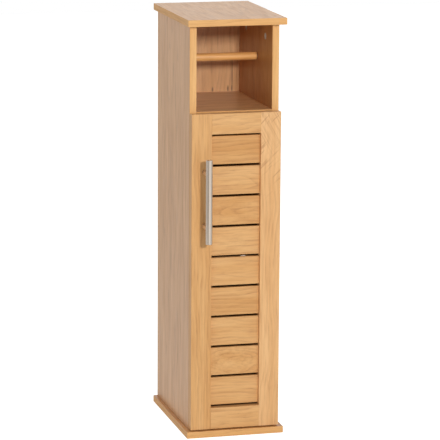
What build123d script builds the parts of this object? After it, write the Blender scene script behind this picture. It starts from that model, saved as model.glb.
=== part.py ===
from build123d import *
import os

# Toilet paper stand: a narrow oak-effect cabinet with an open roll bay above a slatted door.
# Millimetres. Origin at the centre of the base's underside, +X right, +Y back, +Z up, front at -Y.

os.makedirs("parts", exist_ok=True)

# Carcass boards
total_height = 750.0
carcass_width = 162.0          # over the two side panels
carcass_depth = 238.0
side_overhang = 8.0            # top and base past the side panels
front_overhang = 22.0          # top and base past the side panels' front edges
top_thickness = 12.0
base_thickness = 12.0
side_thickness = 12.5
mid_shelf_thickness = 12.0
inner_shelf_thickness = 12.0
back_thickness = 3.0
back_inset = 15.0              # from the carcass back to the back board
groove_depth = 4.0
board_fit = 0.15               # clearance round a board in its groove or between panels
edge_radius = 0.8              # softened edges of the boards
overcut = 1.0                  # how far a cut starts outside the face it enters
roll_bay_height = 152.0

# Door frame and slats
door_gap = 2.0                 # behind the closed door
door_base_gap = 2.0
door_below_shelf = 2.0         # door top below the mid shelf's top face
door_thickness = 15.0
stile_width = 36.5
top_rail_height = 36.5
bottom_rail_height = 38.25
slat_count = 9
slat_gap = 4.3
slat_thickness = 6.5
slat_recess = 7.5              # slat faces behind the frame's face
tongue_thickness = 3.5
tongue_length = 5.5
tongue_fit = 0.15
door_arris = 0.6               # softened edges of the door's front
hinge_swing_room = 0.4         # between the door's turning back corner and the panel

# Knock-down fittings
dowel_radius = 3.0
dowel_fit = 0.05
dowel_in_face = 8.0            # dowel length in a board's face
dowel_in_edge = 14.0           # dowel length in a board's edge
dowel_inset = 26.0             # from a panel's front and back edges to its dowels
cam_radius = 6.0
cam_skin = 3.0                 # wood left behind a cam's blind hole
cam_slot = 1.2                 # width and half depth of the cross in a cam's face
cam_pocket_past = 2.0          # pocket for the bolt's head, past the cam's centre
cam_setback = 28.0             # cam centre from the joint
cam_fit = 0.1
cam_inset = 46.5               # cam line from a panel's front and back edges
bolt_radius = 2.2
bolt_head_radius = 2.5
bolt_thread_radius = 2.6
bolt_in_face = 8.0
bolt_head_length = 2.0
bolt_hole_fit = 0.25

# Screws with flat heads, in shares of their own radii
drive_length_share = 1.1       # slot or cross length over the head's radius
drive_width_share = 0.3
tip_length_share = 1.6         # tip length over the shank's radius
tip_point_share = 0.2          # radius left at the point

# Inner shelf and its pins
shelf_pin_radius = 2.5
shelf_pin_in_panel = 8.0
shelf_pin_reach = 7.0          # how far a pin stands out under the shelf
shelf_pin_collar_radius = 4.0
shelf_pin_collar = 1.0
shelf_pin_inset = 40.0
shelf_side_fit = 0.5           # each side of the loose shelf

# Magnetic catch
catch_x = 17.0
catch_below_slat_top = 8.0     # strike centre below the top of the slat that carries it
catch_slat = 5                 # counted from the top
catch_radius = 3.5
catch_length = 14.0
catch_flange_radius = 5.5
catch_flange = 1.2
magnet_radius = 2.4
magnet_length = 6.0
catch_air_gap = 0.3            # magnet face to strike
strike_radius = 9.5
strike_thickness = 1.5
strike_screw_radius = 1.3
strike_screw_head_radius = 2.8
strike_screw_length = 5.0

# Concealed hinges, each turning on one pin inside its cup
hinge_inset = 80.0             # hinge centre from the door's top and bottom
cup_radius = 13.0
cup_wall = 0.8
cup_depth = 12.0
cup_floor = 1.0
cup_edge = 3.0                 # wood between the cup and the door's edge
cup_fit = 0.05
pin_radius = 0.9
pin_fit = 0.05
pin_end_room = 0.3             # pin end inside the cup's outer wall
eye_radius = 1.8
eye_side_room = 0.9            # between the eye and the cup's wall
eye_floor_room = 0.7           # between the eye and the cup's floor
arm_thickness = 2.0
arm_narrow = 5.0               # arm width beside the pin
arm_wide = 10.0                # arm width on the plate
arm_widens = 1.0               # behind the door's back
flange_rim = 1.3
flange_thickness = 0.8
ear_width = 11.0
ear_reach = 7.0                # ear end past the cup
cup_screw_offset = 3.4         # screw centre past the cup
cup_screw_radius = 1.4
cup_screw_head_radius = 2.7
cup_screw_length = 9.0
plate_setback = 9.0            # plate front behind the panel's front edge
plate_length = 40.0
plate_height = 44.0
plate_thickness = 6.5          # from the panel to the arm
plate_foot = 2.0
plate_pad_margin = 1.0         # pad past the arm's edges
plate_screw_spacing = 32.0
plate_screw_radius = 1.75
plate_screw_head_radius = 3.2
plate_screw_length = 10.0
arm_screw_radius = 1.5
arm_screw_head_radius = 3.0
arm_screw_length = 5.0

# Handle
handle_from_edge = 22.9        # bar axis from the door's left edge
handle_below_top = 150.0       # middle of the bar below the door's top
handle_radius = 6.0
handle_length = 150.0
handle_spacing = 96.0
handle_standoff = 34.0         # bar axis from the door's face
handle_post_radius = 4.5
handle_arris = 0.6
handle_screw_radius = 2.0
handle_screw_head_radius = 4.0
handle_screw_head = 2.4
handle_screw_slot = 1.0
handle_screw_in_post = 9.0
screw_hole_fit = 0.2

# Door bumpers
bumper_radius = 4.0
bumper_thickness = 1.7
bumper_inset = 6.0             # from the door's left edge
bumper_from_end = 60.0

# Roll rail and its end pins
rail_radius = 7.0
rail_setback = 102.0           # rail axis behind the side panels' front edges
rail_drop = 70.5               # rail axis below the top panel
rail_end_gap = 0.75
rail_end_radius = 1.0
rail_pin_radius = 3.0
rail_pin_reach = 6.0           # pin tip past the rail's end
rail_pin_in_wood = 16.0
rail_pin_fit = 0.08
rail_pin_arris = 0.6
socket_outer_radius = 4.5
socket_length = 8.0
socket_floor = 1.0
socket_fit = 0.05
pin_shoulder_fit = 0.1
pin_shoulder_length = 3.0
pin_tail_radius = 1.2
pin_tail_length = 7.0
spring_bore_radius = 4.0
spring_bore_depth = 34.0
spring_wire_radius = 0.35
spring_radius = 2.6
spring_turns = 8
end_ring_length = 3.0

# Places worked out from the sizes
top_under = total_height - top_thickness
base_top = base_thickness
panel_out = carcass_width / 2
panel_in = panel_out - side_thickness
back_y = (carcass_depth + front_overhang) / 2
front_y = back_y - carcass_depth
overhang_y = front_y - front_overhang
overhang_x = panel_out + side_overhang
board_back = back_y - back_inset
board_front = board_back - back_thickness
mid_top = top_under - roll_bay_height
mid_under = mid_top - mid_shelf_thickness
door_back = front_y - door_gap
door_face = door_back - door_thickness
door_low = base_top + door_base_gap
door_high = mid_top - door_below_shelf
opening_x = panel_out - stile_width
opening_low = door_low + bottom_rail_height
opening_high = door_high - top_rail_height
slat_height = (opening_high - opening_low - (slat_count + 1) * slat_gap) / slat_count
slat_face = door_face + slat_recess
slat_back = slat_face + slat_thickness
catch_slat_top = opening_high - slat_gap - (catch_slat - 1) * (slat_height + slat_gap)
catch_z = catch_slat_top - catch_below_slat_top
inner_top = catch_z + inner_shelf_thickness / 2
inner_under = inner_top - inner_shelf_thickness
pivot_from_edge = cup_edge + cup_wall + eye_side_room + eye_radius
pivot_from_back = cup_depth - cup_floor - eye_floor_room - eye_radius
pivot_x = panel_out - pivot_from_edge
pivot_y = door_back - pivot_from_back
arm_face = panel_in - plate_thickness
cup_x = panel_out - cup_edge - cup_radius
hinge_heights = {"lower": door_low + hinge_inset, "upper": door_high - hinge_inset}
handle_x = -panel_out + handle_from_edge
handle_z = door_high - handle_below_top
rail_y = front_y + rail_setback
rail_z = top_under - rail_drop
rail_end = panel_in - rail_end_gap
spring_back = rail_end - spring_bore_depth
LEFT, RIGHT = -1, 1


def hinge_edge_radius():
    """Rounding of the door's back corner that keeps its swing clear of the side panel."""
    swing = pivot_from_back + door_gap - hinge_swing_room
    past = pivot_from_edge + pivot_from_back - swing
    squares = pivot_from_edge ** 2 + pivot_from_back ** 2 - swing ** 2
    return max(door_arris, past - (past ** 2 - squares) ** 0.5)


def block(x_range, y_range, z_range):
    """Box between two limits on each axis."""
    sizes = [high - low for low, high in (x_range, y_range, z_range)]
    centre = [(low + high) / 2 for low, high in (x_range, y_range, z_range)]
    return Pos(*centre) * Box(*sizes)


def rod(start, direction, radius, length):
    """Round bar from a start point along a direction."""
    bar = Cylinder(radius, length, align=(Align.CENTER, Align.CENTER, Align.MIN))
    return Plane(origin=start, z_dir=direction) * bar


def cone_rod(start, direction, start_radius, end_radius, length):
    """Tapered bar from a start point along a direction."""
    bar = Cone(start_radius, end_radius, length, align=(Align.CENTER, Align.CENTER, Align.MIN))
    return Plane(origin=start, z_dir=direction) * bar


def soften(solid, radius):
    """Round all the edges of a plain board."""
    return fillet(solid.edges(), radius)


def write(name, *solids):
    """Write one named sub-part, a single solid or a group of separate ones."""
    shape = solids[0] if len(solids) == 1 else Compound(children=list(solids))
    shape.label = name
    export_step(shape, f"parts/{name}.step")
    print(name, len(solids))


def countersunk_screw(head_face, direction, shank_radius, head_radius, length):
    """Screw with a flat head in the surface; the direction points into the work."""
    head_depth = head_radius - shank_radius
    head = cone_rod(head_face, direction, head_radius, shank_radius, head_depth)
    shank = rod(head_face, direction, shank_radius, length)
    axis = Vector(*direction).normalized()
    socket = Plane(origin=head_face, z_dir=direction) * Box(
        head_radius * drive_length_share, head_radius * drive_width_share, head_depth
    )
    tip_start = Vector(*head_face) + axis * length
    tip_radius = shank_radius * tip_point_share
    tip = cone_rod(tuple(tip_start), direction, shank_radius, tip_radius, shank_radius * tip_length_share)
    return head + shank + tip - socket


def screw_hole(head_face, direction, shank_radius, head_radius, length):
    """The space that a countersunk screw takes, with its clearance."""
    head_depth = head_radius - shank_radius
    wide = head_radius + screw_hole_fit
    narrow = shank_radius + screw_hole_fit
    head = cone_rod(head_face, direction, wide, narrow, head_depth)
    shank = rod(head_face, direction, narrow, length + shank_radius * tip_length_share + screw_hole_fit)
    return head + shank


# Joints between the boards: where each dowel and cam sits

def depth_lines(inset):
    """The two places along the depth for a pair of fittings."""
    return (front_y + inset, board_front - inset)


def joint_axes():
    """Start point on the joint, the way into the edge board, and the inner side for the cam."""
    panel_mid = (panel_in + panel_out) / 2
    mid_centre = (mid_top + mid_under) / 2
    axes = []
    for side in (LEFT, RIGHT):
        axes.append(((side * panel_mid, top_under), (0, 0, -1), (-side, 0, 0), side_thickness))
        axes.append(((side * panel_mid, base_top), (0, 0, 1), (-side, 0, 0), side_thickness))
        axes.append(((side * panel_in, mid_centre), (-side, 0, 0), (0, 0, -1), mid_shelf_thickness))
    return axes


def dowel_places():
    """Each dowel's start in the face board and its direction into the edge board."""
    for (x, z), into_edge, _, _ in joint_axes():
        for y in depth_lines(dowel_inset):
            start = Vector(x, y, z) - Vector(*into_edge) * dowel_in_face
            yield tuple(start), into_edge


def cam_places():
    """Each cam's joint point, direction into the edge board, inner side and board thickness."""
    for (x, z), into_edge, inner, thickness in joint_axes():
        for y in depth_lines(cam_inset):
            yield Vector(x, y, z), Vector(*into_edge), Vector(*inner), thickness


def dowel_solids(extra=0.0):
    """All the dowels, or their holes when given a clearance."""
    length = dowel_in_face + dowel_in_edge
    solids = []
    for start, direction in dowel_places():
        begin = Vector(*start) - Vector(*direction) * extra
        solids.append(rod(tuple(begin), direction, dowel_radius + extra, length + 2 * extra))
    return solids


def cam_solids():
    """Cam discs, each with the round pocket that takes its bolt's head."""
    solids = []
    for joint, into_edge, inner, thickness in cam_places():
        face = joint + into_edge * cam_setback + inner * (thickness / 2)
        cam_depth = thickness - cam_skin
        disc = rod(tuple(face - inner * cam_depth), tuple(inner), cam_radius, cam_depth)
        pocket_start = joint + into_edge * (cam_setback - cam_radius - overcut)
        pocket_length = overcut + cam_radius + cam_pocket_past
        pocket = rod(tuple(pocket_start), tuple(into_edge), bolt_head_radius + bolt_hole_fit, pocket_length)
        slot = Plane(origin=tuple(face), z_dir=tuple(inner), x_dir=tuple(into_edge))
        cross = slot * Box(cam_radius * drive_length_share, cam_slot, 2 * cam_slot)
        cross += slot * Box(cam_slot, cam_radius * drive_length_share, 2 * cam_slot)
        solids.append(disc - pocket - cross)
    return solids


def cam_bores():
    """The blind holes that take the cam discs."""
    holes = []
    for joint, into_edge, inner, thickness in cam_places():
        depth = thickness - cam_skin + cam_fit
        face = joint + into_edge * cam_setback + inner * (thickness / 2)
        holes.append(rod(tuple(face - inner * depth), tuple(inner), cam_radius + cam_fit, depth + overcut))
    return holes


def cam_bolt_solids():
    """Bolts from a board's face to the cam in the next board's edge."""
    solids = []
    for joint, into_edge, _, _ in cam_places():
        thread_start = joint - into_edge * bolt_in_face
        shank_length = cam_setback - bolt_head_length
        bolt = rod(tuple(thread_start), tuple(into_edge), bolt_thread_radius, bolt_in_face)
        bolt += rod(tuple(joint), tuple(into_edge), bolt_radius, shank_length)
        head_start = joint + into_edge * shank_length
        bolt += rod(tuple(head_start), tuple(into_edge), bolt_head_radius, bolt_head_length)
        solids.append(bolt)
    return solids


def cam_bolt_holes():
    """Thread holes in the faces and clearance holes in the edges."""
    holes = []
    for joint, into_edge, _, _ in cam_places():
        thread_start = joint - into_edge * (bolt_in_face + bolt_hole_fit)
        thread_length = bolt_in_face + bolt_hole_fit
        radius = bolt_head_radius + bolt_hole_fit
        thread_radius = bolt_thread_radius + dowel_fit
        holes.append(rod(tuple(thread_start), tuple(into_edge), thread_radius, thread_length))
        holes.append(rod(tuple(joint), tuple(into_edge), radius, cam_setback))
    return holes


def joint_holes():
    """Everything that the board joints cut away."""
    return dowel_solids(dowel_fit) + cam_bores() + cam_bolt_holes()


# Hinges

def hinge_arm(z):
    """Bent arm: an eye round the pin, a narrow bar out of the cup and a wide bar onto the plate."""
    x_range = (arm_face - arm_thickness, arm_face)
    narrow = (z - arm_narrow / 2, z + arm_narrow / 2)
    wide = (z - arm_wide / 2, z + arm_wide / 2)
    bar_y = (pivot_y - arm_thickness / 2, pivot_y + arm_thickness / 2)
    widens_y = door_back + arm_widens
    plate_end = front_y + plate_setback + plate_length
    eye = rod((pivot_x, pivot_y, z - arm_narrow / 2), (0, 0, 1), eye_radius, arm_narrow)
    reach = block((x_range[0], pivot_x), bar_y, narrow)
    rise = block(x_range, (bar_y[0], widens_y), narrow)
    tail = block(x_range, (widens_y, plate_end), wide)
    bore = rod((pivot_x, pivot_y, z - arm_narrow), (0, 0, 1), pin_radius + pin_fit, 2 * arm_narrow)
    return eye + reach + rise + tail - bore - arm_screw_cut(z)


def arm_screw_face(z):
    """Where the screw that clamps the arm has its head."""
    return (arm_face - arm_thickness, front_y + plate_setback + plate_length / 2, z)


def arm_screw_cut(z):
    """Hole for the screw that clamps the arm."""
    sizes = (arm_screw_radius, arm_screw_head_radius, arm_screw_length)
    return screw_hole(arm_screw_face(z), (1, 0, 0), *sizes)


def hinge_plate(z):
    """Mounting plate between the panel's inner face and the arm."""
    y_range = (front_y + plate_setback, front_y + plate_setback + plate_length)
    foot_x = panel_in - plate_foot
    pad_half = arm_wide / 2 + plate_pad_margin
    foot = block((foot_x, panel_in), y_range, (z - plate_height / 2, z + plate_height / 2))
    pad = block((arm_face, foot_x), y_range, (z - pad_half, z + pad_half))
    plate = foot + pad
    for hole in plate_screw_cuts(z):
        plate -= hole
    return plate - arm_screw_cut(z)


def plate_screw_faces(z):
    """Head places of the two screws that hold a plate to the panel."""
    y = front_y + plate_setback + plate_length / 2
    return [(panel_in - plate_foot, y, z + side * plate_screw_spacing / 2) for side in (LEFT, RIGHT)]


def plate_screw_cuts(z):
    """Holes for a plate's two screws."""
    sizes = (plate_screw_radius, plate_screw_head_radius, plate_screw_length)
    return [screw_hole(face, (1, 0, 0), *sizes) for face in plate_screw_faces(z)]


def cup_outline(radius, grow, depth, z):
    """Flange shape on the door's back: a disc and two ears, as deep as asked."""
    low_y = door_back - depth
    disc = rod((cup_x, low_y, z), (0, 1, 0), radius + grow, depth)
    half = ear_width / 2 + grow
    reach = cup_radius + ear_reach - ear_width / 2
    ears = block((cup_x - half, cup_x + half), (low_y, door_back), (z - reach, z + reach))
    for side in (LEFT, RIGHT):
        ears += rod((cup_x, low_y, z + side * reach), (0, 1, 0), half, depth)
    return disc + ears


def cup_screw_faces(z):
    """Head places of the two screws that hold a cup to the door."""
    offset = cup_radius + cup_screw_offset
    return [(cup_x, door_back, z + side * offset) for side in (LEFT, RIGHT)]


def cup_screw_cuts(z):
    """Holes for a cup's two screws."""
    sizes = (cup_screw_radius, cup_screw_head_radius, cup_screw_length)
    return [screw_hole(face, (0, -1, 0), *sizes) for face in cup_screw_faces(z)]


def hinge_cup(z):
    """Pressed cup with a flange that lies in the door's back."""
    body = rod((cup_x, door_back - cup_depth, z), (0, 1, 0), cup_radius, cup_depth)
    inside_depth = cup_depth - cup_floor
    inside_radius = cup_radius - cup_wall
    inside = rod((cup_x, door_back - inside_depth, z), (0, 1, 0), inside_radius, inside_depth + overcut)
    cup = body + cup_outline(cup_radius + flange_rim, 0.0, flange_thickness, z) - inside
    cup -= rod((pivot_x, pivot_y, z - cup_radius), (0, 0, 1), pin_radius + pin_fit / 2, 2 * cup_radius)
    for hole in cup_screw_cuts(z):
        cup -= hole
    return cup


def pin_half_length():
    """From the pin's middle to just inside the cup's outer wall."""
    offset = pivot_x - cup_x
    chord = (cup_radius ** 2 - (offset + pin_radius) ** 2) ** 0.5
    return chord - pin_end_room


def hinge_pin(z):
    """Pin across the cup."""
    half = pin_half_length()
    return rod((pivot_x, pivot_y, z - half), (0, 0, 1), pin_radius, 2 * half)


def cup_pocket(z):
    """Space in the stile for the cup, its flange and its screws."""
    floor_y = door_back - cup_depth - cup_fit
    pocket = rod((cup_x, floor_y, z), (0, 1, 0), cup_radius + cup_fit, cup_depth + overcut)
    pocket += cup_outline(cup_radius + flange_rim, cup_fit, flange_thickness + cup_fit, z)
    for hole in cup_screw_cuts(z):
        pocket += hole
    return pocket


def build_hinges():
    """Both hinges: plate, arm and screws on the cabinet, cup and pin on the door."""
    plate_screws, cup_screws, arm_screws = [], [], []
    plate_sizes = (plate_screw_radius, plate_screw_head_radius, plate_screw_length)
    cup_sizes = (cup_screw_radius, cup_screw_head_radius, cup_screw_length)
    arm_sizes = (arm_screw_radius, arm_screw_head_radius, arm_screw_length)
    for place, z in hinge_heights.items():
        write(f"{place}_hinge_plate", hinge_plate(z))
        write(f"{place}_hinge_arm", hinge_arm(z))
        write(f"{place}_hinge_cup", hinge_cup(z))
        write(f"{place}_hinge_pin", hinge_pin(z))
        plate_screws += [countersunk_screw(face, (1, 0, 0), *plate_sizes) for face in plate_screw_faces(z)]
        cup_screws += [countersunk_screw(face, (0, -1, 0), *cup_sizes) for face in cup_screw_faces(z)]
        arm_screws.append(countersunk_screw(arm_screw_face(z), (1, 0, 0), *arm_sizes))
    write("hinge_plate_screws", *plate_screws)
    write("hinge_cup_screws", *cup_screws)
    write("hinge_arm_screws", *arm_screws)


# Carcass

def socket_bore(side):
    """Blind hole in a side panel for the rail's socket."""
    face = (side * panel_in, rail_y, rail_z)
    return rod(face, (side, 0, 0), socket_outer_radius + socket_fit, socket_length + socket_fit)


def shelf_pin_places():
    """Side, depth and height of the four shelf pins' axes."""
    for side in (LEFT, RIGHT):
        for y in depth_lines(shelf_pin_inset):
            yield side, y, inner_under - shelf_pin_radius


def side_panel(side):
    """One side panel with its back groove and all its holes."""
    x_range = sorted((side * panel_in, side * panel_out))
    panel = block(x_range, (front_y, back_y), (base_top, top_under))
    front_edges = panel.edges().filter_by(Axis.Z).group_by(Axis.Y)[0]
    panel = fillet(front_edges, edge_radius)
    groove_x = sorted((side * (panel_in - overcut), side * (panel_in + groove_depth)))
    panel -= block(groove_x, (board_front - board_fit, board_back + board_fit), (base_top, top_under))
    panel -= socket_bore(side)
    for pin_side, y, z in shelf_pin_places():
        if pin_side == side:
            pin_hole_radius = shelf_pin_radius + dowel_fit
            panel -= rod((side * panel_in, y, z), (side, 0, 0), pin_hole_radius, shelf_pin_in_panel)
    if side == RIGHT:
        for z in hinge_heights.values():
            for hole in plate_screw_cuts(z):
                panel -= hole
    for hole in joint_holes():
        panel -= hole
    return panel


def flat_panel(z_range, groove_z):
    """Top or base: a board past the sides and front, grooved for the back board."""
    board = block((-overhang_x, overhang_x), (overhang_y, back_y), z_range)
    board = soften(board, edge_radius)
    groove_y = (board_front - board_fit, board_back + board_fit)
    groove_half = panel_in + groove_depth
    board -= block((-groove_half, groove_half), groove_y, groove_z)
    for hole in joint_holes():
        board -= hole
    return board


def mid_shelf():
    """Fixed shelf under the roll bay."""
    shelf = block((-panel_in, panel_in), (front_y, board_front), (mid_under, mid_top))
    shelf = fillet(shelf.edges().filter_by(Axis.X).group_by(Axis.Y)[0], edge_radius)
    for hole in joint_holes():
        shelf -= hole
    return shelf


def inner_shelf():
    """Loose shelf in the cupboard, bored in its front edge for the catch."""
    half = panel_in - shelf_side_fit
    shelf = block((-half, half), (front_y, board_front - shelf_side_fit), (inner_under, inner_top))
    shelf = fillet(shelf.edges().filter_by(Axis.X).group_by(Axis.Y)[0], edge_radius)
    bore_radius = catch_radius + dowel_fit
    return shelf - rod((catch_x, front_y, catch_z), (0, 1, 0), bore_radius, catch_length + dowel_fit)


def back_board():
    """Thin back in the grooves of the sides, top and base."""
    half = panel_in + groove_depth - board_fit
    low = base_top - groove_depth + board_fit
    high = top_under + groove_depth - board_fit
    return block((-half, half), (board_front, board_back), (low, high))


def shelf_pin(side, y, z):
    """Metal pin with a collar, pushed into the panel under the shelf."""
    start = (side * (panel_in + shelf_pin_in_panel), y, z)
    pin = rod(start, (-side, 0, 0), shelf_pin_radius, shelf_pin_in_panel + shelf_pin_reach)
    collar_start = (side * panel_in, y, z)
    collar = rod(collar_start, (-side, 0, 0), shelf_pin_collar_radius, shelf_pin_collar)
    over_shelf = block(
        (-panel_out, panel_out), (front_y, back_y), (inner_under, inner_under + shelf_pin_collar_radius * 2)
    )
    return pin + (collar - over_shelf)


def build_carcass():
    """Boards, back, shelves and their fittings."""
    write("top_panel", flat_panel((top_under, total_height), (top_under - overcut, top_under + groove_depth)))
    write("base_panel", flat_panel((0.0, base_top), (base_top - groove_depth, base_top + overcut)))
    write("left_side_panel", side_panel(LEFT))
    write("right_side_panel", side_panel(RIGHT))
    write("mid_shelf", mid_shelf())
    write("inner_shelf", inner_shelf())
    write("back_panel", back_board())
    write("panel_dowels", *dowel_solids())
    write("cam_discs", *cam_solids())
    write("cam_bolts", *cam_bolt_solids())
    write("shelf_pins", *[shelf_pin(*place) for place in shelf_pin_places()])


# Magnetic catch and its strike

def build_catch():
    """Barrel catch in the shelf's front edge and the steel disc behind the slat."""
    flange_y = front_y - catch_flange
    body = rod((catch_x, front_y, catch_z), (0, 1, 0), catch_radius, catch_length)
    body += rod((catch_x, flange_y, catch_z), (0, 1, 0), catch_flange_radius, catch_flange)
    magnet_face = slat_back + strike_thickness + catch_air_gap
    magnet = rod((catch_x, magnet_face, catch_z), (0, 1, 0), magnet_radius, magnet_length)
    seat_radius = magnet_radius + dowel_fit
    body -= rod((catch_x, magnet_face, catch_z), (0, 1, 0), seat_radius, magnet_length + dowel_fit)
    write("catch_body", body)
    write("catch_magnet", magnet)
    strike_top = slat_back + strike_thickness
    disc = rod((catch_x, slat_back, catch_z), (0, 1, 0), strike_radius, strike_thickness)
    write("catch_strike", disc - strike_screw_cut(strike_top))
    sizes = (strike_screw_radius, strike_screw_head_radius, strike_screw_length)
    write("catch_strike_screw", countersunk_screw((catch_x, strike_top, catch_z), (0, -1, 0), *sizes))


def strike_screw_cut(head_y):
    """Hole for the strike's screw."""
    sizes = (strike_screw_radius, strike_screw_head_radius, strike_screw_length)
    return screw_hole((catch_x, head_y, catch_z), (0, -1, 0), *sizes)


# Door

def door_dowel_starts():
    """Start and direction of the dowels between the door's rails and stiles."""
    y = (door_face + door_back) / 2
    for side in (LEFT, RIGHT):
        for low, high in ((door_low, opening_low), (opening_high, door_high)):
            quarter = (high - low) / 4
            for z in (low + quarter, high - quarter):
                yield (side * (opening_x + dowel_in_edge), y, z), (-side, 0, 0)


def door_dowel_solids(extra=0.0):
    """Door dowels, or their holes when given a clearance."""
    solids = []
    for start, direction in door_dowel_starts():
        begin = Vector(*start) - Vector(*direction) * extra
        solids.append(rod(tuple(begin), direction, dowel_radius + extra, 2 * dowel_in_edge + 2 * extra))
    return solids


def handle_post_heights():
    """Heights of the two handle posts."""
    return {"lower": handle_z - handle_spacing / 2, "upper": handle_z + handle_spacing / 2}


def stile(side):
    """One door stile, grooved for the slats."""
    x_range = sorted((side * opening_x, side * panel_out))
    piece = block(x_range, (door_face, door_back), (door_low, door_high))
    piece = fillet(piece.edges().filter_by(Axis.Z).group_by(Axis.Y)[0], door_arris)
    if side == RIGHT:
        back_edges = piece.edges().filter_by(Axis.Z).group_by(Axis.Y)[-1]
        piece = fillet(back_edges.sort_by(Axis.X)[-1], hinge_edge_radius())
        for z in hinge_heights.values():
            piece -= cup_pocket(z)
    groove_x = sorted((side * (opening_x - overcut), side * (opening_x + tongue_length + tongue_fit)))
    middle = (slat_face + slat_back) / 2
    half = tongue_thickness / 2 + tongue_fit
    piece -= block(groove_x, (middle - half, middle + half), (opening_low, opening_high))
    if side == LEFT:
        for z in handle_post_heights().values():
            radius = handle_screw_radius + screw_hole_fit
            piece -= rod((handle_x, door_face - overcut, z), (0, 1, 0), radius, door_thickness + 2 * overcut)
            head_y = door_back - handle_screw_head
            head_radius = handle_screw_head_radius + screw_hole_fit
            piece -= rod((handle_x, head_y, z), (0, 1, 0), head_radius, handle_screw_head + overcut)
    for hole in door_dowel_solids(dowel_fit):
        piece -= hole
    return piece


def door_rail(low, high):
    """Top or bottom member of the door frame."""
    piece = block((-opening_x, opening_x), (door_face, door_back), (low, high))
    piece = fillet(piece.edges().filter_by(Axis.X).group_by(Axis.Y)[0], door_arris)
    for hole in door_dowel_solids(dowel_fit):
        piece -= hole
    return piece


def slat(number):
    """One slat with a tongue at each end, counted from the top."""
    top = opening_high - slat_gap - (number - 1) * (slat_height + slat_gap)
    low = top - slat_height
    half = opening_x - tongue_fit
    piece = block((-half, half), (slat_face, slat_back), (low, top))
    piece = fillet(piece.edges().filter_by(Axis.X).group_by(Axis.Y)[0], door_arris)
    middle = (slat_face + slat_back) / 2
    reach = opening_x + tongue_length
    thick = tongue_thickness / 2
    piece += block((-reach, reach), (middle - thick, middle + thick), (low, top))
    if number == catch_slat:
        piece -= strike_screw_cut(slat_back + strike_thickness)
    return piece


def build_door():
    """Frame, slats, dowels and bumpers."""
    write("door_left_stile", stile(LEFT))
    write("door_right_stile", stile(RIGHT))
    write("door_bottom_rail", door_rail(door_low, opening_low))
    write("door_top_rail", door_rail(opening_high, door_high))
    for number in range(1, slat_count + 1):
        write(f"door_slat_{number}", slat(number))
    write("door_dowels", *door_dowel_solids())
    bumper_x = -panel_out + bumper_inset
    heights = (door_low + bumper_from_end, door_high - bumper_from_end)
    pads = [rod((bumper_x, door_back, z), (0, 1, 0), bumper_radius, bumper_thickness) for z in heights]
    write("door_bumpers", *pads)


# Handle

def build_handle():
    """Bar, two posts and the screws through the stile."""
    axis_y = door_face - handle_standoff
    bar = rod((handle_x, axis_y, handle_z - handle_length / 2), (0, 0, 1), handle_radius, handle_length)
    bar = chamfer(bar.edges().filter_by(GeomType.CIRCLE), handle_arris)
    screws = []
    for place, z in handle_post_heights().items():
        post = rod((handle_x, axis_y, z), (0, 1, 0), handle_post_radius, handle_standoff)
        post -= rod((handle_x, axis_y, z - handle_spacing), (0, 0, 1), handle_radius, 2 * handle_spacing)
        thread = handle_screw_in_post + screw_hole_fit
        post -= rod((handle_x, door_face - thread, z), (0, 1, 0), handle_screw_radius + dowel_fit, thread)
        write(f"handle_post_{place}", post)
        head_y = door_back - handle_screw_head
        head = rod((handle_x, head_y, z), (0, 1, 0), handle_screw_head_radius, handle_screw_head)
        shank_length = head_y - door_face + handle_screw_in_post
        shank_start = (handle_x, door_face - handle_screw_in_post, z)
        shank = rod(shank_start, (0, 1, 0), handle_screw_radius, shank_length)
        slot = block(
            (handle_x - handle_screw_head_radius, handle_x + handle_screw_head_radius),
            (door_back - handle_screw_slot, door_back + handle_screw_slot),
            (z - handle_screw_slot / 2, z + handle_screw_slot / 2),
        )
        screws.append(head + shank - slot)
    write("handle_bar", bar)
    write("handle_screws", *screws)


# Roll rail

def socket(side):
    """Blind plastic socket in a side panel."""
    mouth = (side * panel_in, rail_y, rail_z)
    body = rod(mouth, (side, 0, 0), socket_outer_radius, socket_length)
    return body - rod(mouth, (side, 0, 0), rail_pin_radius + rail_pin_fit, socket_length - socket_floor)


def roll_rail():
    """Wooden rail, bored at each end."""
    rail = rod((-rail_end, rail_y, rail_z), (1, 0, 0), rail_radius, 2 * rail_end)
    rail = fillet(rail.edges().filter_by(GeomType.CIRCLE), rail_end_radius)
    pin_hole_radius = rail_pin_radius + dowel_fit
    rail -= rod((-rail_end, rail_y, rail_z), (1, 0, 0), pin_hole_radius, rail_pin_in_wood + dowel_fit)
    return rail - rod((spring_back, rail_y, rail_z), (1, 0, 0), spring_bore_radius, spring_bore_depth)


def coil_spring(low_x, high_x):
    """Wire spring along X between two faces."""
    length = high_x - low_x - 2 * spring_wire_radius
    path = Helix(pitch=length / spring_turns, height=length, radius=spring_radius)
    wire = Plane(origin=path @ 0, z_dir=path % 0) * Circle(spring_wire_radius)
    coil = sweep(wire, path, is_frenet=True)
    return Plane(origin=(low_x + spring_wire_radius, rail_y, rail_z), z_dir=(1, 0, 0)) * coil


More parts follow.
